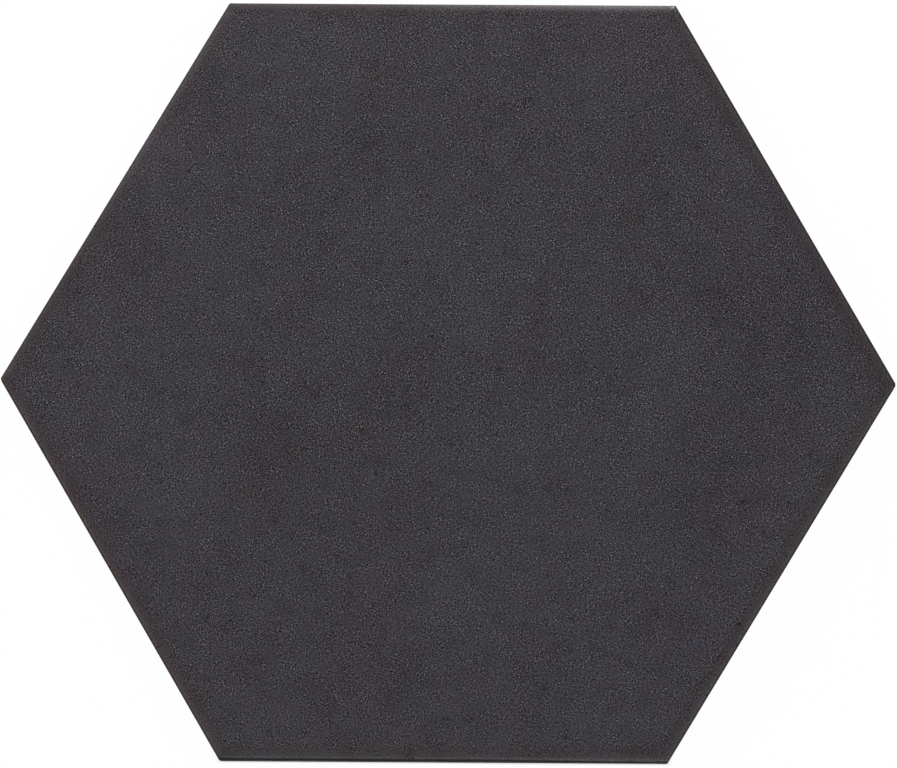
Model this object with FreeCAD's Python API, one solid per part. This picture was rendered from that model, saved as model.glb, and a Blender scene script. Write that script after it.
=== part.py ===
import FreeCAD, Part
import math
import os

# A hexagonal porcelain floor tile, pressed from powder and fired in one piece.
# It lies on its back with its face up, and two of its six sides run along X.
# The origin is the middle of the back, at the level of the floor.

# Driving sizes, in millimetres and degrees
ACROSS_FLATS = 230.0  # from one side to the opposite one, at the widest band
THICKNESS = 9.0
CORNER_RADIUS = 0.4  # the six upright corners, seen from above
ARRIS_WIDTH = 3.0  # the pressed rounding that leaves the face smoothly, measured along the face
ARRIS_DROP = 1.8  # how far it falls before it meets the land at a blunt edge
LAND_HEIGHT = 2.8  # the upright band below the arris, squared by the wall of the die
SIDE_DRAFT = 8.0  # the side below the land leans in by this angle
BACK_BEVEL = 0.8  # the bevel between side and back, as high as it is wide

# The keyed back: rings of shallow hexagonal pockets with ribs between them
RIM_WIDTH = 6.0  # the plain border outside the outermost pockets
KEY_RINGS = 6  # rings of pockets round the middle one
KEY_RIB = 2.4  # width of a rib at its foot on the floor
KEY_DEPTH = 0.8
KEY_DRAFT = 25.0  # a pocket's walls lean out from upright by this angle

# How far a cutting shape reaches past the surface it cuts
OVERCUT = 0.5

SIDES = 6
TURN = 360.0 / SIDES
COS_HALF_TURN = math.cos(math.radians(TURN / 2))
ORIGIN = FreeCAD.Vector(0, 0, 0)
UP = FreeCAD.Vector(0, 0, 1)

# The side's profile, from the back up
ARRIS_RADIUS = (ARRIS_WIDTH**2 + ARRIS_DROP**2) / (2 * ARRIS_DROP)
ARRIS_TURN = math.asin(ARRIS_WIDTH / ARRIS_RADIUS)
LAND_TOP = THICKNESS - ARRIS_DROP
LAND_BOTTOM = LAND_TOP - LAND_HEIGHT
DRAFT_INSET = (LAND_BOTTOM - BACK_BEVEL) * math.tan(math.radians(SIDE_DRAFT))
BACK_ACROSS_FLATS = ACROSS_FLATS - 2 * (DRAFT_INSET + BACK_BEVEL)

# Spacing of the pockets: the outermost ring's walls reach the rim's inner edge
KEYED_REACH = BACK_ACROSS_FLATS / 2 - RIM_WIDTH
KEY_PITCH = (KEYED_REACH + KEY_RIB / (2 * COS_HALF_TURN)) / (
    KEY_RINGS * COS_HALF_TURN + 1 / (2 * COS_HALF_TURN)
)


def direction(angle):
    """The level unit vector at an angle from X."""
    return FreeCAD.Vector(math.cos(math.radians(angle)), math.sin(math.radians(angle)), 0)


def rounded_hexagon(across_flats, height):
    """The tile's outline at one height, with rounded corners and two sides along X."""
    reach = (across_flats / 2 - CORNER_RADIUS) / COS_HALF_TURN
    arcs = []
    for corner in range(SIDES):
        centre = direction(corner * TURN) * reach + UP * height
        angles = [(corner + swing) * TURN for swing in (-0.5, 0, 0.5)]
        arcs.append([centre + direction(angle) * CORNER_RADIUS for angle in angles])
    edges = []
    for arc, next_arc in zip(arcs, arcs[1:] + arcs[:1]):
        edges.append(Part.Arc(*arc).toShape())
        edges.append(Part.LineSegment(arc[-1], next_arc[0]).toShape())
    return Part.Wire(edges)


def pressed_block():
    """The tile without its arrises and with a plain back: bevel, leaning side and land."""
    outlines = [
        rounded_hexagon(BACK_ACROSS_FLATS, 0),
        rounded_hexagon(BACK_ACROSS_FLATS + 2 * BACK_BEVEL, BACK_BEVEL),
        rounded_hexagon(ACROSS_FLATS, LAND_BOTTOM),
        rounded_hexagon(ACROSS_FLATS, THICKNESS + OVERCUT),
    ]
    return Part.makeLoft(outlines, True, True)


def arris_bar(angle):
    """A bar laid across the tile at an angle, as wide as the tile, with both arrises rounded."""
    length = 2 * ACROSS_FLATS
    flat = ACROSS_FLATS / 2 - ARRIS_WIDTH

    def point(across, height):
        return FreeCAD.Vector(-length / 2, across, height)

    def arris_point(side, turn):
        across = flat + ARRIS_RADIUS * math.sin(turn)
        return point(side * across, THICKNESS - ARRIS_RADIUS * (1 - math.cos(turn)))

    lower = [point(side * ACROSS_FLATS / 2, -OVERCUT) for side in (-1, 1)]
    left, right = [[arris_point(side, ARRIS_TURN * share) for share in (0, 0.5, 1)] for side in (-1, 1)]
    edges = [
        Part.LineSegment(lower[0], lower[1]),
        Part.LineSegment(lower[1], right[2]),
        Part.Arc(right[2], right[1], right[0]),
        Part.LineSegment(right[0], left[0]),
        Part.Arc(left[0], left[1], left[2]),
        Part.LineSegment(left[2], lower[0]),
    ]
    section = Part.Face(Part.Wire([edge.toShape() for edge in edges]))
    bar = section.extrude(FreeCAD.Vector(length, 0, 0))
    bar.rotate(ORIGIN, UP, angle)
    return bar


def polygon(points):
    """The flat face inside a ring of points."""
    return Part.Face(Part.makePolygon(points + points[:1]))


def key_stub():
    """The tool that presses the middle pocket: a six-sided stub, narrower at its upper end."""

    def corners(height):
        across_flats = KEY_PITCH - KEY_RIB - 2 * height * math.tan(math.radians(KEY_DRAFT))
        reach = across_flats / 2 / COS_HALF_TURN
        return [direction((side + 0.5) * TURN) * reach + UP * height for side in range(SIDES)]

    mouth = corners(-OVERCUT)
    floor = corners(KEY_DEPTH)
    faces = [polygon(mouth), polygon(floor)]
    for side in range(SIDES):
        after = (side + 1) % SIDES
        faces.append(polygon([mouth[side], mouth[after], floor[after], floor[side]]))
    return Part.Solid(Part.Shell(faces))


def key_centres():
    """The middles of the pockets, on rows at 60 degrees to one another."""
    steps = range(-KEY_RINGS, KEY_RINGS + 1)
    return [
        direction(0) * (KEY_PITCH * along) + direction(TURN) * (KEY_PITCH * across)
        for along in steps
        for across in steps
        if abs(along + across) <= KEY_RINGS
    ]


def floor_tile():
    """The whole tile: the pressed block under three bars, then keyed on its back."""
    tile = pressed_block()
    for side in range(SIDES // 2):
        tile = tile.common(arris_bar(side * TURN))
    stub = key_stub()
    stubs = [stub.translated(centre) for centre in key_centres()]
    return tile.removeSplitter().cut(Part.makeCompound(stubs)).Solids[0]


os.makedirs("parts", exist_ok=True)
floor_tile().exportStep("parts/tile.step")
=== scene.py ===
import math

import bmesh
import bpy
from mathutils import Euler, Matrix, Vector


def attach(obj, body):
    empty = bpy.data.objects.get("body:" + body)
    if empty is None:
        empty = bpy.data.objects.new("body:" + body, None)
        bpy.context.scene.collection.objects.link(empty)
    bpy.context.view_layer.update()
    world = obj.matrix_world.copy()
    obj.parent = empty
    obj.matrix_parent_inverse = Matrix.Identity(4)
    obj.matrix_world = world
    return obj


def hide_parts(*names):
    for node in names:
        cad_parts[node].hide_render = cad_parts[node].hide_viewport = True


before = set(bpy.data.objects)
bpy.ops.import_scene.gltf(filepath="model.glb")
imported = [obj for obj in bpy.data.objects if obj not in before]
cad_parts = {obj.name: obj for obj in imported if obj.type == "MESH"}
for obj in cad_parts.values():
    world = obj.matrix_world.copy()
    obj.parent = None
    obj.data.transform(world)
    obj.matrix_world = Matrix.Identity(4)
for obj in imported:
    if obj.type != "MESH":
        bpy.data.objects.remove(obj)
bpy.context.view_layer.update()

# All lengths are in metres, and patterns have so many cells, specks or clouds per metre.
# A ramp is given by the two values between which it runs and its two results there, or else 0 and 1.

# Sizes of the tile, the same as in the solid that this piece stands for
ACROSS_FLATS = 0.230
THICKNESS = 0.009
CORNER_RADIUS = 0.0004
ARRIS_WIDTH = 0.003
ARRIS_DROP = 0.0018
LAND_HEIGHT = 0.0028
SIDE_DRAFT = math.radians(8)
BACK_BEVEL = 0.0008
RIM_WIDTH = 0.006
KEY_RINGS = 6
KEY_RIB = 0.0024
KEY_DEPTH = 0.0008
KEY_DRAFT = math.radians(25)

# Softness that pressing and firing leave on the edges
ARRIS_STEPS = 8
CORNER_STEPS = 4
EDGE_STEPS = 3
ROUND_PROFILE = 0.5
LAND_EDGE_SOFTNESS = 0.00022
BACK_EDGE_SOFTNESS = 0.00022
KEY_EDGE_SOFTNESS = 0.00018
FACE_SUPPORT = 0.0006  # a band of faces just inside the arrises, which keeps the flat face's shading flat
SHARPEST_SMOOTH_EDGE = math.radians(40)

SIDES = 6
TURN = math.tau / SIDES
COS_HALF_TURN = math.cos(TURN / 2)
ARRIS_RADIUS = (ARRIS_WIDTH**2 + ARRIS_DROP**2) / (2 * ARRIS_DROP)
ARRIS_TURN = math.asin(ARRIS_WIDTH / ARRIS_RADIUS)
LAND_TOP = THICKNESS - ARRIS_DROP
LAND_BOTTOM = LAND_TOP - LAND_HEIGHT
DRAFT_INSET = (LAND_BOTTOM - BACK_BEVEL) * math.tan(SIDE_DRAFT)
BACK_ACROSS_FLATS = ACROSS_FLATS - 2 * (DRAFT_INSET + BACK_BEVEL)
KEYED_REACH = BACK_ACROSS_FLATS / 2 - RIM_WIDTH
KEY_PITCH = (KEYED_REACH + KEY_RIB / (2 * COS_HALF_TURN)) / (
    KEY_RINGS * COS_HALF_TURN + 1 / (2 * COS_HALF_TURN)
)
ORIGIN = (0.0, 0.0, 0.0)
HAIR = 1e-6  # places closer than this count as one


# Modelling helpers


def deselect_everything():
    """In object mode, leaves nothing selected."""
    bpy.ops.object.select_all(action="DESELECT")


def select_edges(piece, wanted):
    """In edit mode, selects the edges that satisfy a test."""
    bpy.ops.mesh.select_mode(type="EDGE")
    bpy.ops.mesh.select_all(action="DESELECT")
    mesh = bmesh.from_edit_mesh(piece.data)
    for edge in mesh.edges:
        if wanted(edge):
            edge.select_set(True)
    bmesh.update_edit_mesh(piece.data)


def select_faces(piece, wanted):
    """In edit mode, selects the faces that satisfy a test."""
    bpy.ops.mesh.select_mode(type="FACE")
    bpy.ops.mesh.select_all(action="DESELECT")
    mesh = bmesh.from_edit_mesh(piece.data)
    for face in mesh.faces:
        if wanted(face):
            face.select_set(True)
    bmesh.update_edit_mesh(piece.data)


def level_edge_at(height):
    """A test for edges that lie level at one height."""
    return lambda edge: all(abs(vert.co.z - height) < HAIR for vert in edge.verts)


def filled_hexagon(across_flats, turn=0.0):
    """Adds one level six-sided face in edit mode; before it is turned, it has a corner on Y."""
    deselect_everything()
    bpy.ops.mesh.primitive_circle_add(
        vertices=SIDES, radius=across_flats / 2 / COS_HALF_TURN, fill_type="NGON", enter_editmode=True
    )
    if turn:
        bpy.ops.transform.rotate(value=turn, orient_axis="Z", center_override=ORIGIN)
    return bpy.context.object


def draw_up(rise, old_width, new_width):
    """Extrudes the selected face upwards and scales it from one width to another."""
    bpy.ops.mesh.extrude_region_move(TRANSFORM_OT_translate={"value": (0, 0, rise)})
    share = new_width / old_width
    bpy.ops.transform.resize(value=(share, share, 1), center_override=ORIGIN)


def soften_edges(width):
    """Rounds the selected edges over a width to both sides."""
    bpy.ops.mesh.bevel(offset=width, segments=EDGE_STEPS, profile=ROUND_PROFILE)


def join(pieces):
    """Makes one piece of several, at the origin and unscaled."""
    deselect_everything()
    for piece in pieces:
        piece.select_set(True)
    bpy.context.view_layer.objects.active = pieces[0]
    bpy.ops.object.join()
    bpy.ops.object.transform_apply(location=True, rotation=True, scale=True)
    return pieces[0]


# The tile


def side_profile():
    """Width across flats and height of each level of the side, from the back to the face."""
    levels = [
        (BACK_ACROSS_FLATS, 0),
        (BACK_ACROSS_FLATS + 2 * BACK_BEVEL, BACK_BEVEL),
        (ACROSS_FLATS, LAND_BOTTOM),
        (ACROSS_FLATS, LAND_TOP),
    ]
    for step in range(ARRIS_STEPS - 1, -1, -1):
        turn = ARRIS_TURN * step / ARRIS_STEPS
        reach = ACROSS_FLATS / 2 - ARRIS_WIDTH + ARRIS_RADIUS * math.sin(turn)
        levels.append((2 * reach, THICKNESS - ARRIS_RADIUS * (1 - math.cos(turn))))
    return levels


def pressed_block():
    """The tile's face, arrises and sides, still open at the back."""
    levels = side_profile()
    block = filled_hexagon(levels[0][0], TURN / 2)
    cut_back = CORNER_RADIUS * math.tan(TURN / 2)
    bpy.ops.mesh.bevel(affect="VERTICES", offset=cut_back, segments=CORNER_STEPS, profile=ROUND_PROFILE)
    select_faces(block, lambda face: True)
    for (old_width, old_height), (new_width, new_height) in zip(levels, levels[1:]):
        draw_up(new_height - old_height, old_width, new_width)
    bpy.ops.mesh.inset(thickness=FACE_SUPPORT)
    # The flat face keeps one vertex at each corner
    flat = levels[-1][0] / 2 / COS_HALF_TURN - CORNER_RADIUS / 2
    at_face = level_edge_at(THICKNESS)

    def short_and_inside(edge):
        reach = max(vert.co.length for vert in edge.verts)
        return at_face(edge) and edge.calc_length() < CORNER_RADIUS and reach < flat

    select_edges(block, short_and_inside)
    bpy.ops.mesh.merge(type="COLLAPSE")
    select_faces(block, lambda face: face.calc_center_median().z < HAIR)
    bpy.ops.mesh.delete(type="ONLY_FACE")
    bpy.ops.object.mode_set(mode="OBJECT")
    return block


def key_cell():
    """One cell of the back: half a rib all round, and the pocket pressed into it."""
    cell = filled_hexagon(KEY_PITCH)
    bpy.ops.mesh.inset(thickness=KEY_RIB / 2)
    mouth = KEY_PITCH - KEY_RIB
    draw_up(KEY_DEPTH, mouth, mouth - 2 * KEY_DEPTH * math.tan(KEY_DRAFT))
    outer = (KEY_PITCH - KEY_RIB / 2) / 2

    def brim_or_floor(edge):
        level = abs(edge.verts[0].co.z - edge.verts[1].co.z) < HAIR
        middle = (edge.verts[0].co + edge.verts[1].co) / 2
        return level and math.hypot(middle.x, middle.y) < outer

    select_edges(cell, brim_or_floor)
    soften_edges(KEY_EDGE_SOFTNESS)
    bpy.ops.object.mode_set(mode="OBJECT")
    return cell


def key_centres():
    """The middles of the pockets, on rows at 60 degrees to one another."""
    steps = range(-KEY_RINGS, KEY_RINGS + 1)
    return [
        Vector((KEY_PITCH * (along + across / 2), KEY_PITCH * across * COS_HALF_TURN, 0))
        for along in steps
        for across in steps
        if abs(along + across) <= KEY_RINGS
    ]


def keyed_back():
    """The rings of cells, each a copy of the middle one, edge to edge."""
    cell = key_cell()
    cells = [cell]
    for centre in key_centres():
        if centre.length < HAIR:
            continue
        deselect_everything()
        cell.select_set(True)
        bpy.context.view_layer.objects.active = cell
        bpy.ops.object.duplicate_move(TRANSFORM_OT_translate={"value": centre})
        cells.append(bpy.context.object)
    return cells


def fired_tile():
    """The whole tile as one closed piece with softened edges."""
    tile = join([pressed_block()] + keyed_back())
    tile.name = "fired_tile"
    bpy.ops.object.mode_set(mode="EDIT")
    bpy.ops.mesh.select_all(action="SELECT")
    bpy.ops.mesh.remove_doubles(threshold=2 * HAIR)
    # The rim closes what is open between the cells and the sides
    select_edges(tile, lambda edge: edge.is_boundary)
    bpy.ops.mesh.fill()
    bpy.ops.mesh.select_all(action="SELECT")
    bpy.ops.mesh.normals_make_consistent(inside=False)
    select_edges(tile, level_edge_at(LAND_TOP))
    soften_edges(LAND_EDGE_SOFTNESS)
    at_bevel = level_edge_at(BACK_BEVEL)
    select_edges(tile, lambda edge: at_bevel(edge) and edge.verts[0].co.length > KEYED_REACH)
    soften_edges(BACK_EDGE_SOFTNESS)
    bpy.ops.mesh.select_all(action="SELECT")
    bpy.ops.mesh.dissolve_degenerate(threshold=HAIR)
    bpy.ops.object.mode_set(mode="OBJECT")
    bpy.ops.object.shade_smooth_by_angle(angle=SHARPEST_SMOOTH_EDGE)
    weighted = tile.modifiers.new("even_shading", "WEIGHTED_NORMAL")
    weighted.keep_sharp = True
    bpy.ops.object.modifier_apply(modifier=weighted.name)
    return tile


# Shader building


class Nodes:
    """Short ways to place nodes in one shader tree; an input is a socket or a plain value."""

    def __init__(self, tree):
        self.tree = tree

    def put(self, target, value):
        """Links a socket to an input, or sets the input to a plain value."""
        if isinstance(value, bpy.types.NodeSocket):
            self.tree.links.new(value, target)
        else:
            target.default_value = value

    def add(self, kind, settings=None, **inputs):
        """Places a node; an underscore in an input's name stands for a space."""
        node = self.tree.nodes.new(kind)
        for name, value in (settings or {}).items():
            setattr(node, name, value)
        for name, value in inputs.items():
            self.put(node.inputs[name.replace("_", " ")], value)
        return node

    def fill(self, node, values):
        """Sets the first inputs of a node in their order."""
        for socket, value in zip(node.inputs, values):
            self.put(socket, value)
        return node

    def math(self, operation, *values):
        """Works out a number."""
        return self.fill(self.add("ShaderNodeMath", {"operation": operation}), values).outputs[0]

    def product(self, first, *others):
        """Several values multiplied one after another."""
        for other in others:
            first = self.math("MULTIPLY", first, other)
        return first

    def both_ways(self, value):
        """Spreads a value between 0 and 1 to between -1 and 1."""
        return self.math("MULTIPLY_ADD", value, 2.0, -1.0)

    def vector(self, operation, *values):
        """Works out a vector, or the number that a distance or a dot product is."""
        node = self.fill(self.add("ShaderNodeVectorMath", {"operation": operation}), values)
        return node.outputs["Value" if operation in ("DISTANCE", "DOT_PRODUCT") else "Vector"]

    def axes(self, position):
        """X, Y and Z of a place: on the face they are across, up and height."""
        return self.add("ShaderNodeSeparateXYZ", Vector=position).outputs

    def ramp(self, value, low, high, to_low=0.0, to_high=1.0, smooth=True):
        """Goes from one result to another while the value goes from low to high, and stays there."""
        node = self.add("ShaderNodeMapRange", {"interpolation_type": "SMOOTHSTEP" if smooth else "LINEAR"})
        return self.fill(node, (value, low, high, to_low, to_high)).outputs["Result"]

    def noise(self, position, scale, detail, roughness=0.5, flat=False):
        """Cloudy noise between 0 and 1; flat noise is the same at every height."""
        node = self.add("ShaderNodeTexNoise", {"noise_dimensions": "2D" if flat else "3D"},
                        Vector=position, Scale=scale, Detail=detail, Roughness=roughness)
        return node.outputs["Fac"]

    def mix(self, share, first, second, blend="MIX"):
        """Mixes two colours."""
        node = self.add("ShaderNodeMix", {"data_type": "RGBA", "blend_type": blend})
        self.put(node.inputs["Factor"], share)
        self.put(node.inputs[6], first)
        self.put(node.inputs[7], second)
        return node.outputs[2]

    def group(self, group, **inputs):
        """Places a node group with its own values."""
        node = self.add("ShaderNodeGroup", {"node_tree": group})
        for name, value in inputs.items():
            self.put(node.inputs[name], value)
        return node.outputs


FLOAT = "NodeSocketFloat"
VECTOR = "NodeSocketVector"


def new_group(name, inputs, result, kind=FLOAT):
    """An empty shader node group that takes a position and named values and puts out one result.

    It comes with short ways to place its nodes, its given values, and the socket for its result.
    """
    group = bpy.data.node_groups.new(name, "ShaderNodeTree")
    group.interface.new_socket(name="Position", in_out="INPUT", socket_type=VECTOR)
    for label, (label_kind, value) in inputs.items():
        socket = group.interface.new_socket(name=label, in_out="INPUT", socket_type=label_kind)
        if value is not None:
            socket.default_value = value
    group.interface.new_socket(name=result, in_out="OUTPUT", socket_type=kind)
    given = group.nodes.new("NodeGroupInput").outputs
    return group, Nodes(group), given, group.nodes.new("NodeGroupOutput").inputs[result]


def edge_distance_group():
    """How far a point of the face lies inside the tile's outline."""
    group, n, given, distance = new_group("distance_from_edge", {}, "Distance")
    axes = n.axes(given["Position"])
    across = n.math("ABSOLUTE", axes["Y"])
    along = n.math("ABSOLUTE", axes["X"])
    slanted = n.math("ADD", n.math("MULTIPLY", along, COS_HALF_TURN), n.math("MULTIPLY", across, 0.5))
    n.put(distance, n.math("SUBTRACT", ACROSS_FLATS / 2, n.math("MAXIMUM", across, slanted)))
    return group


# Each layer of the face's grain: the angle it is turned by, and its share of the given specks per metre
GRAIN_LAYERS = ((0.4, 0.9), (1.2, 1.1))
SPECK_CONTRAST = 1.1
WEAKEST_SPECK = 0.30
THICKER_PLACE = 8.0  # so many specks across
THIN_TO_THICK = (0.3, 0.7, 0.60, 1.45)


def face_grain_group():
    """Sandy grain of the pressed face: light and dark specks, thicker in some places than in others.

    It is the sum of two flat patterns that lie at an angle to each other.
    """
    group, n, given, grain = new_group("face_grain", {"Specks per metre": (FLOAT, 2500.0)}, "Grain")
    layers = []
    for turn, share in GRAIN_LAYERS:
        turned = n.add("ShaderNodeVectorRotate", {"rotation_type": "Z_AXIS"},
                       Vector=given["Position"], Angle=turn).outputs["Vector"]
        scale = n.math("MULTIPLY", given["Specks per metre"], share)
        layers.append(n.both_ways(n.noise(turned, scale, detail=0.0, flat=True)))
    both = n.math("ADD", *layers)
    # The strongest specks stand out, the weak ones sink back
    strength = n.math("MULTIPLY_ADD", n.math("ABSOLUTE", both), SPECK_CONTRAST, WEAKEST_SPECK)
    places = n.math("DIVIDE", given["Specks per metre"], THICKER_PLACE)
    thick = n.ramp(n.noise(given["Position"], places, detail=1.0), *THIN_TO_THICK)
    n.put(grain, n.product(both, strength, thick))
    return group


def body_grain_group():
    """Grain of the bare fired body, the same in every direction, from -1 to 1."""
    group, n, given, grain = new_group("body_grain", {"Specks per metre": (FLOAT, 1500.0)}, "Grain")
    n.put(grain, n.both_ways(n.noise(given["Position"], given["Specks per metre"], detail=1.0)))
    return group


def cloud_group():
    """Soft clouds left by uneven glaze and firing, from -1 to 1."""
    group, n, given, tone = new_group(
        "firing_clouds", {"Clouds per metre": (FLOAT, 30.0), "Raggedness": (FLOAT, 0.6)}, "Tone"
    )
    cloud = n.noise(given["Position"], given["Clouds per metre"], detail=6.0, roughness=given["Raggedness"])
    n.put(tone, n.both_ways(cloud))
    return group


def wander_group():
    """Shifts places a little, so that what is drawn from them gets ragged outlines."""
    group, n, given, shifted = new_group(
        "ragged_place", {"Folds per metre": (FLOAT, 60.0), "Reach": (FLOAT, 0.008)}, "Position", VECTOR
    )
    swirl = n.add("ShaderNodeTexNoise", Vector=given["Position"], Scale=given["Folds per metre"], Detail=3.0)
    shift = n.vector("SUBTRACT", swirl.outputs["Color"], (0.5, 0.5, 0.5))
    shift = n.vector("MULTIPLY", shift, given["Reach"])
    n.put(shifted, n.vector("ADD", given["Position"], shift))
    return group


MARK_FADE = (0.25, 1.35, 1.0, 0.0)  # in radii of the mark


def soft_mark_group():
    """One soft blotch: 1 in its middle, 0 from about a third beyond its radius on."""
    group, n, given, mask = new_group(
        "soft_mark", {"Centre": (VECTOR, None), "Radius": (FLOAT, 0.01)}, "Mask"
    )
    away = n.math("DIVIDE", n.vector("DISTANCE", given["Position"], given["Centre"]), given["Radius"])
    n.put(mask, n.ramp(away, *MARK_FADE))
    return group


def ring_mark_group():
    """One faint ring, as a drying drop leaves it."""
    group, n, given, mask = new_group(
        "ring_mark", {"Centre": (VECTOR, None), "Radius": (FLOAT, 0.008), "Width": (FLOAT, 0.0018)}, "Mask"
    )
    away = n.vector("DISTANCE", given["Position"], given["Centre"])
    off = n.math("DIVIDE", n.math("ABSOLUTE", n.math("SUBTRACT", away, given["Radius"])), given["Width"])
    n.put(mask, n.ramp(off, 0.0, 1.0, 1.0, 0.0))
    return group


SMALLEST_HOLE = 0.35  # in given radii; the largest hole is one radius more
HOLE_FADE = (0.5, 1.2, 1.0, 0.0)  # in radii of the hole


def pinhole_group():
    """Scattered round pinholes: 1 in a hole, 0 outside; only some of the cells hold one."""
    group, n, given, mask = new_group(
        "pinholes",
        {"Cells per metre": (FLOAT, 150.0), "Share": (FLOAT, 0.3), "Radius": (FLOAT, 0.0006)},
        "Mask",
    )
    flat = n.vector("MULTIPLY", given["Position"], (1.0, 1.0, 0.0))
    cells = n.add("ShaderNodeTexVoronoi", {"voronoi_dimensions": "2D"},
                  Vector=flat, Scale=given["Cells per metre"]).outputs
    luck = n.add("ShaderNodeSeparateColor", Color=cells["Color"]).outputs
    away = n.math("DIVIDE", cells["Distance"], given["Cells per metre"])
    reach = n.math("MULTIPLY", given["Radius"], n.math("ADD", luck["Green"], SMALLEST_HOLE))
    hole = n.ramp(n.math("DIVIDE", away, reach), *HOLE_FADE)
    n.put(mask, n.math("MULTIPLY", hole, n.math("LESS_THAN", luck["Red"], given["Share"])))
    return group


EDGE_DISTANCE = edge_distance_group()
FACE_GRAIN = face_grain_group()
BODY_GRAIN = body_grain_group()
CLOUDS = cloud_group()
RAGGED = wander_group()
SOFT_MARK = soft_mark_group()
RING_MARK = ring_mark_group()
PINHOLES = pinhole_group()


def new_material(name):
    """A material, short ways to place its nodes, its surface shader, and places on the tile."""
    material = bpy.data.materials.new(name)
    material.use_nodes = True
    nodes = Nodes(material.node_tree)
    shader = material.node_tree.nodes["Principled BSDF"]
    position = nodes.add("ShaderNodeTexCoord").outputs["Object"]
    return material, nodes, shader, position


def finish_surface(n, shader, roughness, specular, relief, height):
    """Sets how dull a surface is, and gives it fine relief of so many metres."""
    shader.inputs["Roughness"].default_value = roughness
    shader.inputs["Specular IOR Level"].default_value = specular
    bump = n.add("ShaderNodeBump", Strength=1.0, Distance=relief, Height=height)
    n.put(shader.inputs["Normal"], bump.outputs["Normal"])


def sum_of_marks(n, group, position, marks):
    """The masks of several marks added up."""
    total = 0.0
    for x, y, radius in marks:
        mask = n.group(group, Position=position, Centre=(x, y, THICKNESS), Radius=radius)["Mask"]
        total = n.math("ADD", total, mask)
    return total


# The six sides as the picture shows them, counted against the clock
UPPER_RIGHT, UPPER, UPPER_LEFT, LOWER_LEFT, LOWER, LOWER_RIGHT = range(SIDES)


def toward_side(n, position, side, far, near):
    """1 nearer to one of the six sides than the second distance, 0 farther off than the first."""
    angle = (side + 0.5) * TURN
    out = n.vector("DOT_PRODUCT", position, (math.cos(angle), math.sin(angle), 0))
    return n.ramp(out, ACROSS_FLATS / 2 - far, ACROSS_FLATS / 2 - near)


# The matt glaze of the face and the arrises

# Marks of the firing on the face: where each one is, and its radius
DARK_MARKS = [
    (-0.0240, 0.0699, 0.0110), (-0.0476, 0.0621, 0.0050), (-0.0501, -0.0172, 0.0137),
    (-0.0107, -0.0877, 0.0103), (0.0475, 0.0008, 0.0128), (0.0760, 0.0293, 0.0137),
    (0.1014, 0.0112, 0.0190), (0.0723, -0.0422, 0.0160), (0.0344, -0.0971, 0.0182),
    (0.0593, 0.0643, 0.0122), (-0.0200, -0.0063, 0.0097), (0.0860, -0.0180, 0.0230),
]
LIGHT_MARKS = [
    (-0.0571, 0.1018, 0.0140), (0.0094, 0.0167, 0.0116), (0.0340, -0.0637, 0.0213),
    (0.0860, 0.0706, 0.0110), (-0.0893, 0.0664, 0.0140), (-0.1065, 0.0205, 0.0140),
    (-0.0059, 0.0471, 0.0137), (-0.0134, -0.0640, 0.0167), (-0.0789, -0.0371, 0.0182),
]
RED_MARKS = [
    (-0.0847, 0.0667, 0.0080), (0.0886, -0.0393, 0.0120), (0.1008, -0.0175, 0.0110),
    (0.0764, -0.0110, 0.0060), (0.0560, 0.1050, 0.0160), (-0.0250, 0.0900, 0.0060),
    (0.0798, 0.0893, 0.0020), (-0.1120, -0.0336, 0.0022),
]
OLIVE_MARKS = [
    (0.0773, 0.0937, 0.0024), (0.0703, 0.1058, 0.0020), (-0.1080, -0.0406, 0.0027),
    (-0.1036, -0.0482, 0.0024),
]
BLUE_MARKS = [
    (0.0886, 0.0449, 0.0240), (0.0640, 0.0980, 0.0120), (-0.1030, -0.0230, 0.0170),
    (-0.1040, 0.0240, 0.0120), (-0.0210, -0.0780, 0.0150), (-0.0570, 0.1040, 0.0110),
    (0.0700, -0.0670, 0.0160), (0.0200, -0.0800, 0.0110), (0.0660, -0.1020, 0.0100),
]
GREEN_MARKS = [(0.0035, 0.0200, 0.0100)]
RING_MARKS = [
    (0.0196, 0.0290, 0.0085), (-0.0178, 0.0022, 0.0134), (-0.0053, -0.0011, 0.0064),
    (0.0229, 0.0006, 0.0085), (0.0712, 0.0619, 0.0067), (0.0865, 0.0224, 0.0061),
    (-0.0630, 0.0947, 0.0076), (0.0468, -0.0181, 0.0076),
]

GLAZE_GREY = (0.0386, 0.0386, 0.0386)
GLAZE_ROUGHNESS = 0.65
GLAZE_SHINE = 0.1
GLAZE_RELIEF = 0.000005

# The strength of the grain: by the distance from the edge, weaker low down and at the lower edge,
# stronger to the right, and weaker in a band along the upper right side.
FACE_SPECKS = 2450.0
GRAIN_BY_DISTANCE = (0.0009, 0.0038, 0.58, 1.61)
GRAIN_LOW_DOWN = (-0.034, -0.008, 0.85, 1.0)
GRAIN_LOWER_EDGE = (-0.108, -0.086, 0.86, 1.0)
GRAIN_RIGHTWARD = 0.45
SMOOTH_BAND_INSIDE = (0.0056, 0.0040)
SMOOTH_BAND_OUTSIDE = (0.0024, 0.0014)
SMOOTH_BAND_SHARE = -0.20

FACE_CLOUDS = {"Clouds per metre": 26.0, "Raggedness": 0.82}
BROWN_PATCHES = 150.0
BROWN_RAMP = (0.55, 0.66)
BLUE_PATCHES = 120.0
BLUE_RAMP = (0.57, 0.67)
MOTTLES = 130.0
MOTTLE_ROUGHNESS = 0.8
MOTTLE_RAMP = (0.49, 0.63)
FINE_HOLES = {"Cells per metre": 140.0, "Share": 0.3, "Radius": 0.0006}
WIDE_PORES = {"Cells per metre": 70.0, "Share": 0.5, "Radius": 0.0013}
PALE_SPARKS = {"Cells per metre": 80.0, "Share": 0.4, "Radius": 0.0004}

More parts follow.
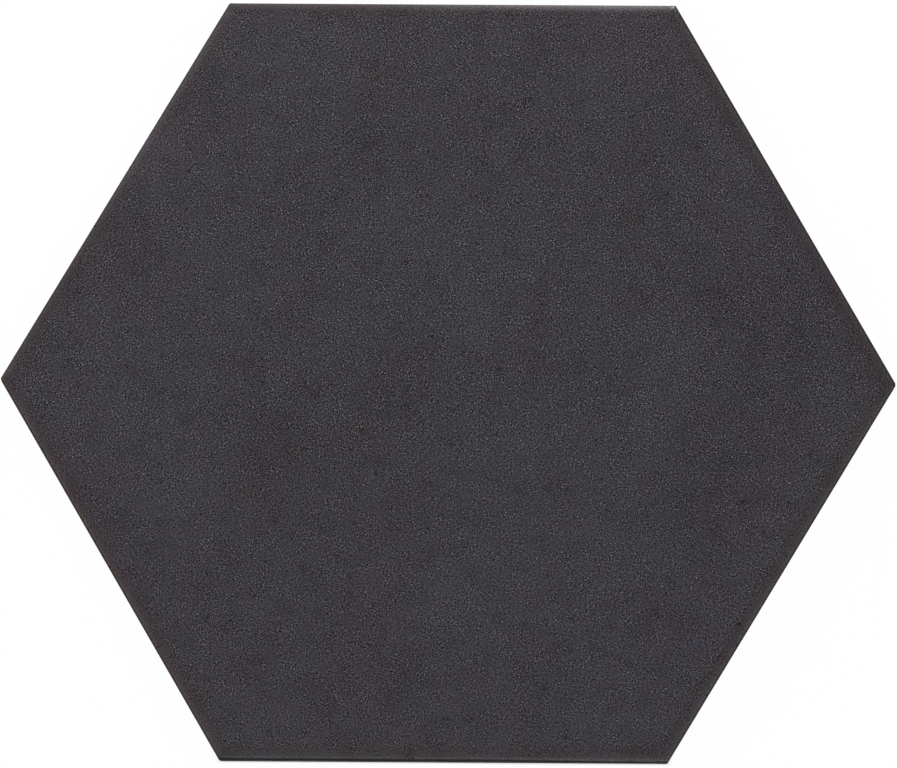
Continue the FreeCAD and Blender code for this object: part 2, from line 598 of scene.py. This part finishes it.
# What each thing adds to the tone of the glaze, which is about 1
TONE_SHARES = {
    "clouds": 0.36,
    "mottles": -0.108,
    "brown patches": -0.05,
    "blue patches": 0.02,
    "dark marks": -0.07,
    "light marks": 0.057,
    "rings": -0.05,
    "holes": -0.45,
    "pores": -0.20,
    "sparks": 0.50,
}
PALER_FROM_MIDDLE = 4.2  # per square metre, upwards and downwards
# Painted light falloff: the face is painted paler upwards and to the left, towards the lamp
PAINTED_LIGHT_UPWARD = 0.17
PAINTED_LIGHT_RIGHTWARD = -0.17
DARKEST_TONE = 0.10


def face_tone(n, position, grain, grain_share, clouds, brown, blue):
    """Light and dark of the open face, about 1, and the mask of its pores."""
    ragged = n.group(RAGGED, Position=position)["Position"]
    pores = n.group(PINHOLES, Position=ragged, **WIDE_PORES)["Mask"]
    masks = {
        "clouds": clouds,
        "mottles": n.ramp(n.noise(ragged, MOTTLES, detail=1.0, roughness=MOTTLE_ROUGHNESS), *MOTTLE_RAMP),
        "brown patches": brown,
        "blue patches": blue,
        "dark marks": sum_of_marks(n, SOFT_MARK, ragged, DARK_MARKS),
        "light marks": sum_of_marks(n, SOFT_MARK, ragged, LIGHT_MARKS),
        "rings": sum_of_marks(n, RING_MARK, ragged, RING_MARKS),
        "holes": n.group(PINHOLES, Position=position, **FINE_HOLES)["Mask"],
        "pores": pores,
        "sparks": n.group(PINHOLES, Position=ragged, **PALE_SPARKS)["Mask"],
    }
    tone = n.math("MULTIPLY_ADD", grain, grain_share, 1.0)
    for name, share in TONE_SHARES.items():
        tone = n.math("MULTIPLY_ADD", masks[name], share, tone)
    # A little paler towards the upper and the lower edge; painted light falloff makes it paler to the upper
    # left, towards the lamp
    across, up = n.axes(position)[:2]
    tone = n.math("MULTIPLY_ADD", n.math("MULTIPLY", up, up), PALER_FROM_MIDDLE, tone)
    tone = n.math("MULTIPLY_ADD", up, PAINTED_LIGHT_UPWARD, tone)
    tone = n.math("MULTIPLY_ADD", across, PAINTED_LIGHT_RIGHTWARD, tone)
    return n.math("MAXIMUM", tone, DARKEST_TONE), pores


# Near the edges, by the distance from them: paler on the arris and once more at its brink, and a
# slightly darker strip just inside, darker to the right
ARRIS_PALE = (0.0027, 0.0011, 1.0, 1.25)
BRINK_PALE = (0.0012, 0.0005, 1.0, 1.20)
STRIP_OUTSIDE = (0.0020, 0.0028)
STRIP_INSIDE = (0.0048, 0.0034)
STRIP_RIGHTWARD = (-0.03, 0.08, -0.04, -0.095)
# The two upper slanted arrises are less pale, the more so the lower down
DULL_LOWER_END = (-0.010, 0.010)
DULL_UPPER_END = (0.105, 0.020)
DULL_RIGHTWARD = (-0.02, 0.02, 0.20, 0.13)
DULL_WIDTH = (0.0034, 0.0018)
# The upper arris carries a painted highlight that grows to the right, up to a painted glint at its end; a
# broader band along it is darker at the left and paler at the right
PAINTED_HIGHLIGHT_RIGHTWARD = (-0.035, 0.055)
PAINTED_HIGHLIGHT_WIDTH = (0.0024, 0.0004)
PAINTED_HIGHLIGHT_SHARE = 0.95
PAINTED_GLINT = {"Centre": (0.0655, 0.1143, THICKNESS - 0.0009), "Radius": 0.0006}
PAINTED_GLINT_SHARE = 2.0
BAND_RIGHTWARD = (-0.060, 0.020, -0.16, 0.12)
BAND_WIDTH = (0.0042, 0.0020)
# A fine pale line along the lower arris, partly thinner glaze and partly painted highlight, weaker at its
# right end; painted shade darkens its brink except there
FINE_LINE_RIGHTWARD = (0.010, 0.045, 1.15, 0.50)
FINE_LINE_WIDTH = (0.0005, 0.0002)
BRINK_SHADE_LEFTWARD = (0.045, 0.010)
BRINK_SHADE_WIDTH = (0.00035, 0.00015)
BRINK_SHADE_SHARE = -0.75
# Fine pale and dark lines along the slanted sides: the side, how much paler or darker than 1, and how
# far from the side the line begins and is full
EDGE_LINES = (
    (LOWER_LEFT, -0.09, 0.0028, 0.0020),
    (LOWER_RIGHT, 0.07, 0.0010, 0.0006),
    (UPPER_RIGHT, -0.065, 0.0062, 0.0045),
    (UPPER_RIGHT, -0.60, 0.00085, 0.00050),
    (UPPER_LEFT, -0.08, 0.0026, 0.0016),
    (UPPER_LEFT, -0.50, 0.00070, 0.00045),
    (LOWER_LEFT, 0.14, 0.0008, 0.0005),
    (LOWER_LEFT, -0.64, 0.00040, 0.00020),
    (LOWER_RIGHT, -0.40, 0.00025, 0.00010),
)


def edge_tone(n, position, distance):
    """What the tone is multiplied by near the edges, where the glaze has pulled back or thinned with wear,
    and where painted highlights and painted shade stand in for light on the arrises.
    """
    across, up = n.axes(position)[:2]
    strip = n.product(n.ramp(distance, *STRIP_OUTSIDE), n.ramp(distance, *STRIP_INSIDE))
    dull = n.product(n.ramp(up, *DULL_LOWER_END), n.ramp(up, *DULL_UPPER_END),
                     n.ramp(across, *DULL_RIGHTWARD), n.ramp(distance, *DULL_WIDTH))
    # Painted highlight along the upper arris, growing to the right, and a painted glint at its right end
    painted_highlight = n.product(n.ramp(across, *PAINTED_HIGHLIGHT_RIGHTWARD), toward_side(n, position, UPPER, *PAINTED_HIGHLIGHT_WIDTH))
    glint = n.group(SOFT_MARK, Position=position, **PAINTED_GLINT)["Mask"]
    band = n.product(toward_side(n, position, UPPER, *BAND_WIDTH), n.ramp(across, *BAND_RIGHTWARD))
    # A fine pale line on the lower arris, partly painted highlight
    fine = n.product(toward_side(n, position, LOWER, *FINE_LINE_WIDTH), n.ramp(across, *FINE_LINE_RIGHTWARD))
    # Painted shade along the brink of the lower arris, which faces away from the lamp
    brink_shade = n.product(toward_side(n, position, LOWER, *BRINK_SHADE_WIDTH), n.ramp(across, *BRINK_SHADE_LEFTWARD))
    factors = [
        n.ramp(distance, *ARRIS_PALE),
        n.ramp(distance, *BRINK_PALE),
        n.math("MULTIPLY_ADD", strip, n.ramp(across, *STRIP_RIGHTWARD), 1.0),
        n.math("SUBTRACT", 1.0, dull),
        n.math("MULTIPLY_ADD", painted_highlight, PAINTED_HIGHLIGHT_SHARE, 1.0),
        n.math("MULTIPLY_ADD", glint, PAINTED_GLINT_SHARE, 1.0),
        n.math("ADD", band, 1.0),
        n.math("ADD", fine, 1.0),
    ]
    for side, share, far, near in EDGE_LINES:
        factors.append(n.math("MULTIPLY_ADD", toward_side(n, position, side, far, near), share, 1.0))
    factors.append(n.math("MULTIPLY_ADD", brink_shade, BRINK_SHADE_SHARE, 1.0))
    return n.product(*factors)


# How much more red and blue than green the glaze shows: in the open, towards the edges and less so
# low down, on the arrises, and on the two sides that differ
OPEN_TINT = (0.0029, 0, 0.0048, 1)
WARM_TINT = (0.0062, 0, 0.0046, 1)
WARM_WIDTH = (0.0064, 0.0026)
WARM_UPWARD = (-0.11, 0.05, 0.6, 1.0)
ARRIS_TINT = (0.0066, 0, 0.0018, 1)
ARRIS_TINT_WIDTH = (0.0024, 0.0006)
LOWER_LEFT_TINT = (0.0115, 0, -0.0010, 1)
LOWER_LEFT_TINT_WIDTH = (0.0022, 0.0004)
LOWER_TINT = (0.0038, 0, 0.0030, 1)
LOWER_TINT_WIDTH = (0.0040, 0.0010)
# What patches, marks, clouds and pores add to it, and how much broad marks count against small patches
BROWN_TINT = (0.0046, 0, 0.0008)
RED_MARK_SHARE = 0.38
BLUE_TINT = (0.0008, 0, 0.0056)
BLUE_MARK_SHARE = 0.26
GREEN_TINT = (-0.0012, 0, -0.0004)
OLIVE_TINT = (0.0008, 0, -0.0032)
CLOUD_TINT = (-0.0021, 0, 0.0019)
PORE_TINT = (0.0016, 0, 0)
PATCHES_BY_DISTANCE = (0.035, 0.006, 0.35, 1.0)


def glaze_tint(n, position, distance, clouds, pores, brown, blue):
    """How much more red and blue than green the glaze shows."""
    up = n.axes(position)["Y"]
    warm = n.product(n.ramp(distance, *WARM_WIDTH), n.ramp(up, *WARM_UPWARD))
    tint = n.mix(warm, OPEN_TINT, WARM_TINT)
    tint = n.mix(n.ramp(distance, *ARRIS_TINT_WIDTH), tint, ARRIS_TINT)
    tint = n.mix(toward_side(n, position, LOWER_LEFT, *LOWER_LEFT_TINT_WIDTH), tint, LOWER_LEFT_TINT)
    tint = n.mix(toward_side(n, position, LOWER, *LOWER_TINT_WIDTH), tint, LOWER_TINT)
    # Small reddish and bluish patches, more of them near the edges, and a few broad ones
    ragged = n.group(RAGGED, Position=position)["Position"]
    edge_share = n.ramp(distance, *PATCHES_BY_DISTANCE)
    patches = []
    for colour, small, marks, mark_share in (
        (BROWN_TINT, brown, RED_MARKS, RED_MARK_SHARE),
        (BLUE_TINT, blue, BLUE_MARKS, BLUE_MARK_SHARE),
    ):
        broad = sum_of_marks(n, SOFT_MARK, ragged, marks)
        small = n.math("MULTIPLY", small, edge_share)
        patches.append((n.math("MULTIPLY_ADD", broad, mark_share, small), colour))
    for colour, marks in ((GREEN_TINT, GREEN_MARKS), (OLIVE_TINT, OLIVE_MARKS)):
        patches.append((sum_of_marks(n, SOFT_MARK, ragged, marks), colour))
    # The paler clouds are bluer, the dark ones and the pores redder
    patches += [(clouds, CLOUD_TINT), (pores, PORE_TINT)]
    for patch, colour in patches:
        tint = n.vector("ADD", tint, n.vector("MULTIPLY", patch, colour))
    return tint


def matt_glaze():
    """The glaze of the face and the arrises."""
    material, n, shader, position = new_material("matt_glaze")
    distance = n.group(EDGE_DISTANCE, Position=position)["Distance"]
    grain = n.group(FACE_GRAIN, Position=position, **{"Specks per metre": FACE_SPECKS})["Grain"]
    across, up = n.axes(position)[:2]
    smooth_band = n.math("SUBTRACT", toward_side(n, position, UPPER_RIGHT, *SMOOTH_BAND_INSIDE),
                         toward_side(n, position, UPPER_RIGHT, *SMOOTH_BAND_OUTSIDE))
    grain_share = n.product(
        n.ramp(distance, *GRAIN_BY_DISTANCE),
        n.ramp(up, *GRAIN_LOW_DOWN),
        n.ramp(up, *GRAIN_LOWER_EDGE),
        n.math("MULTIPLY_ADD", across, GRAIN_RIGHTWARD, 1.0),
        n.math("MULTIPLY_ADD", smooth_band, SMOOTH_BAND_SHARE, 1.0),
    )
    clouds = n.group(CLOUDS, Position=position, **FACE_CLOUDS)["Tone"]
    # Small brownish patches, darker than the rest, and small bluish ones, a little paler
    brown = n.ramp(n.noise(position, BROWN_PATCHES, detail=1.0), *BROWN_RAMP)
    blue = n.ramp(n.noise(position, BLUE_PATCHES, detail=1.0), *BLUE_RAMP)
    tone, pores = face_tone(n, position, grain, grain_share, clouds, brown, blue)
    tone = n.math("MULTIPLY", tone, edge_tone(n, position, distance))
    # The grey follows the tone, its tint only half as fast
    tint = glaze_tint(n, position, distance, clouds, pores, brown, blue)
    tint = n.vector("MULTIPLY", tint, n.math("SQRT", tone))
    n.put(shader.inputs["Base Color"], n.vector("MULTIPLY_ADD", tone, GLAZE_GREY, tint))
    relief = n.math("MULTIPLY", grain, grain_share)
    finish_surface(n, shader, GLAZE_ROUGHNESS, GLAZE_SHINE, GLAZE_RELIEF, relief)
    return material


# The side: glaze that has run down ends unevenly near the lower edge of the land, and below it the
# body is bare and redder. At the right end of the lower side the face's own glaze laps over.
BARE_BODY = (0.0940, 0.0670, 0.0600, 1)
RUN_DOWN_GLAZE = (0.0038, 0.0034, 0.0033, 1)
LAPPED_GLAZE = (0.0450, 0.0390, 0.0400, 1)
SIDE_SPECKS = 1600.0
SIDE_CLOUDS = {"Clouds per metre": 60.0, "Raggedness": 0.6}
STREAK_STRETCH = (1.0, 1.0, 0.06)
STREAKS_ACROSS = 900.0
STREAK_DETAIL = 3.0
STREAK_ROUGHNESS = 0.6
SIDE_GRAIN_SHARE = 0.9
STREAK_SHARE = 1.2
SIDE_CLOUD_SHARE = 0.5
DARKEST_SIDE = 0.2
RUN_BY_CLOUDS = -0.0010
RUN_BY_STREAKS = -0.0006
RUN_SOFTNESS = 0.0003
LAP_RIGHTWARD = (0.020, 0.060, LAND_TOP + 0.0002, LAND_TOP - 0.0014)
LAP_SOFTNESS = 0.0003
LAP_SIDE = (-0.110, -0.113)
SIDE_ROUGHNESS = 0.95
SIDE_SHINE = 0.1
SIDE_RELIEF = 0.00004


def fired_side():
    """The side of the tile, with the fine upright streaks that the mould leaves."""
    material, n, shader, position = new_material("fired_side")
    grain = n.group(BODY_GRAIN, Position=position, **{"Specks per metre": SIDE_SPECKS})["Grain"]
    drawn_out = n.vector("MULTIPLY", position, STREAK_STRETCH)
    streaks = n.noise(drawn_out, STREAKS_ACROSS, detail=STREAK_DETAIL, roughness=STREAK_ROUGHNESS)
    clouds = n.group(CLOUDS, Position=position, **SIDE_CLOUDS)["Tone"]
    tone = n.math("MULTIPLY_ADD", grain, SIDE_GRAIN_SHARE, 1.0)
    tone = n.math("MULTIPLY_ADD", streaks, STREAK_SHARE, n.math("SUBTRACT", tone, STREAK_SHARE / 2))
    tone = n.math("MAXIMUM", n.math("MULTIPLY_ADD", clouds, SIDE_CLOUD_SHARE, tone), DARKEST_SIDE)
    across, up, height = n.axes(position)
    level = n.math("MULTIPLY_ADD", streaks, RUN_BY_STREAKS, height)
    level = n.math("MULTIPLY_ADD", clouds, RUN_BY_CLOUDS, level)
    glazed = n.ramp(level, LAND_BOTTOM - RUN_SOFTNESS, LAND_BOTTOM + RUN_SOFTNESS)
    skin = n.mix(glazed, BARE_BODY, RUN_DOWN_GLAZE)
    lap_end = n.ramp(across, *LAP_RIGHTWARD)
    lapped = n.product(n.ramp(n.math("SUBTRACT", height, lap_end), 0.0, LAP_SOFTNESS), n.ramp(up, *LAP_SIDE))
    skin = n.mix(lapped, skin, LAPPED_GLAZE)
    n.put(shader.inputs["Base Color"], n.mix(1.0, skin, tone, blend="MULTIPLY"))
    finish_surface(n, shader, SIDE_ROUGHNESS, SIDE_SHINE, SIDE_RELIEF, n.math("ADD", grain, streaks))
    return material


# The back, with pale kiln wash on what touches the floor
BACK_BODY = (0.0330, 0.0280, 0.0250, 1)
KILN_WASH = (0.2100, 0.1950, 0.1750, 1)
BACK_SPECKS = 1300.0
BACK_CLOUDS = {"Clouds per metre": 45.0, "Raggedness": 0.6}
RIB_TOP = (0.00018, 0.00004)
WASH_BY_CLOUDS = 1.6
WASH_BY_GRAIN = 1.1
WASH_RAMP = (-0.45, 0.55)
BACK_CLOUD_SHARE = 0.6
BACK_GRAIN_SHARE = 0.8
DARKEST_BACK = 0.25
BACK_ROUGHNESS = 0.95
BACK_SHINE = 0.2
BACK_RELIEF = 0.00005


def keyed_back_finish():
    """The bare body underneath, with pale kiln wash that came off onto the tops of the ribs and the rim."""
    material, n, shader, position = new_material("keyed_back")
    grain = n.group(BODY_GRAIN, Position=position, **{"Specks per metre": BACK_SPECKS})["Grain"]
    clouds = n.group(CLOUDS, Position=position, **BACK_CLOUDS)["Tone"]
    patchy = n.math("ADD", n.math("MULTIPLY", clouds, WASH_BY_CLOUDS),
                    n.math("MULTIPLY", grain, WASH_BY_GRAIN))
    wash = n.product(n.ramp(n.axes(position)["Z"], *RIB_TOP), n.ramp(patchy, *WASH_RAMP))
    tone = n.math("MULTIPLY_ADD", grain, BACK_GRAIN_SHARE, 1.0)
    tone = n.math("MAXIMUM", n.math("MULTIPLY_ADD", clouds, BACK_CLOUD_SHARE, tone), DARKEST_BACK)
    body = n.mix(1.0, BACK_BODY, tone, blend="MULTIPLY")
    n.put(shader.inputs["Base Color"], n.mix(wash, body, KILN_WASH))
    finish_surface(n, shader, BACK_ROUGHNESS, BACK_SHINE, BACK_RELIEF, n.math("ADD", grain, wash))
    return material


def finish_tile(tile):
    """Gives the face and arrises, the sides and the back their finishes."""
    for material in (matt_glaze(), fired_side(), keyed_back_finish()):
        tile.data.materials.append(material)
    deselect_everything()
    tile.select_set(True)
    bpy.context.view_layer.objects.active = tile
    bpy.ops.object.mode_set(mode="EDIT")
    side_top = LAND_TOP - LAND_EDGE_SOFTNESS / 2
    places = [
        lambda face: face.calc_center_median().z > side_top,
        lambda face: KEY_DEPTH + HAIR < face.calc_center_median().z < side_top,
        lambda face: face.calc_center_median().z <= KEY_DEPTH + HAIR,
    ]
    for index, place in enumerate(places):
        select_faces(tile, place)
        tile.active_material_index = index
        bpy.ops.object.material_slot_assign()
    bpy.ops.object.mode_set(mode="OBJECT")


tile = fired_tile()
finish_tile(tile)
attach(tile, "root")
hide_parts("tile")


# Floor, light and camera

FLOOR_SIZE = 8.0
PAPER_COLOUR = (0.95, 0.95, 0.95, 1)
PAPER_ROUGHNESS = 0.9
WHITE = (1, 1, 1, 1)
# How much plain white there is in what is seen of the paper; the rest is the paper's own shade
WHITE_SHARE = 0.97
# A narrow strip at the foot of the lower side shows more of that shade
FOOT_STRIP_FRONT = (-0.1149, -0.1144)
FOOT_STRIP_BACK = (-0.1000, -0.1100)
FOOT_STRIP_ENDS = (0.0680, 0.0660)
FOOT_STRIP_SHARE = -0.33

SKY_STRENGTH = 0.78
KEY_POWER = 25.0
KEY_SIZE = 1.2
KEY_PLACE = Vector((-0.94, 1.76, 0.93))

# The camera looks down on the tile from a long way off, a little from the side of its lower edge
CAMERA_TILT = math.radians(13.048)
CAMERA_LEAN = math.radians(1.596)
CAMERA_ROLL = math.radians(0.35)
CAMERA_LENS = 1200.0
CAMERA_PLACE = Vector((0.00022, -0.0013, 8.8671))
SENSOR_WIDTH = 36.0
VIEW_DEPTH = 10.0  # in distances from the camera to the tile


def seen_plainly(n):
    """1 for rays that show the surroundings themselves, directly or mirrored; 0 for rays that light."""
    path = n.add("ShaderNodeLightPath").outputs
    mirrored = n.math("MAXIMUM", path["Is Camera Ray"], path["Is Glossy Ray"])
    return n.math("MAXIMUM", mirrored, path["Is Transmission Ray"])


def foot_strip(n):
    """1 in the strip of paper at the foot of the lower side, 0 elsewhere."""
    across, up = n.axes(n.add("ShaderNodeTexCoord").outputs["Object"])[:2]
    return n.product(n.ramp(up, *FOOT_STRIP_FRONT), n.ramp(up, *FOOT_STRIP_BACK),
                     n.ramp(n.math("ABSOLUTE", across), *FOOT_STRIP_ENDS))


def white_paper():
    """Paper that is nearly pure white where it is seen, with a faint shadow."""
    material = bpy.data.materials.new("white_floor")
    material.use_nodes = True
    n = Nodes(material.node_tree)
    paper = material.node_tree.nodes["Principled BSDF"]
    paper.inputs["Base Color"].default_value = PAPER_COLOUR
    paper.inputs["Roughness"].default_value = PAPER_ROUGHNESS
    paper.inputs["Specular IOR Level"].default_value = 0.0
    glow = n.add("ShaderNodeEmission")
    glow.inputs["Color"].default_value = WHITE
    glow.inputs["Strength"].default_value = 1.0
    either = n.add("ShaderNodeMixShader")
    share = n.math("MULTIPLY_ADD", foot_strip(n), FOOT_STRIP_SHARE, WHITE_SHARE)
    n.put(either.inputs["Fac"], n.math("MULTIPLY", seen_plainly(n), share))
    n.put(either.inputs[1], paper.outputs["BSDF"])
    n.put(either.inputs[2], glow.outputs["Emission"])
    n.put(material.node_tree.nodes["Material Output"].inputs["Surface"], either.outputs["Shader"])
    return material


def white_floor():
    """A level sheet of white paper.

    It is open where the tile's back stands, so that the keyed back can be looked at from below.
    """
    floor = filled_hexagon(FLOOR_SIZE, TURN / 2)
    bpy.ops.mesh.inset(thickness=(FLOOR_SIZE - BACK_ACROSS_FLATS) / 2)
    bpy.ops.mesh.delete(type="FACE")
    bpy.ops.object.mode_set(mode="OBJECT")
    floor.name = "floor"
    floor.data.materials.append(white_paper())


def studio_sky():
    """Even light from all round, pure white where it is seen."""
    world = bpy.data.worlds.new("studio")
    bpy.context.scene.world = world
    world.use_nodes = True
    n = Nodes(world.node_tree)
    background = world.node_tree.nodes["Background"]
    background.inputs["Color"].default_value = WHITE
    strength = n.ramp(seen_plainly(n), 0.0, 1.0, SKY_STRENGTH, 1.0, smooth=False)
    n.put(background.inputs["Strength"], strength)


def soft_lamp(name, place, size, power):
    """A round lamp that faces the origin."""
    lamp = bpy.data.lights.new(name, "AREA")
    lamp.shape = "DISK"
    lamp.size = size
    lamp.energy = power
    holder = bpy.data.objects.new(name, lamp)
    holder.location = place
    holder.rotation_euler = place.to_track_quat("Z", "Y").to_euler()
    holder.visible_camera = False
    bpy.context.collection.objects.link(holder)


def long_lens_camera():
    """The camera, turned about the middle of the face and then set back from it."""
    lens = bpy.data.cameras.new("camera")
    lens.lens = CAMERA_LENS
    lens.sensor_width = SENSOR_WIDTH
    lens.clip_end = VIEW_DEPTH * CAMERA_PLACE.length
    camera = bpy.data.objects.new("camera", lens)
    bpy.context.collection.objects.link(camera)
    turned = Euler((CAMERA_TILT, CAMERA_LEAN, CAMERA_ROLL), "ZYX").to_matrix()
    face_middle = Vector((0, 0, THICKNESS))
    camera.matrix_world = Matrix.Translation(face_middle + turned @ CAMERA_PLACE) @ turned.to_4x4()
    bpy.context.scene.camera = camera


white_floor()
studio_sky()
soft_lamp("key", KEY_PLACE, KEY_SIZE, KEY_POWER)
long_lens_camera()
bpy.context.scene.view_settings.view_transform = "Standard"
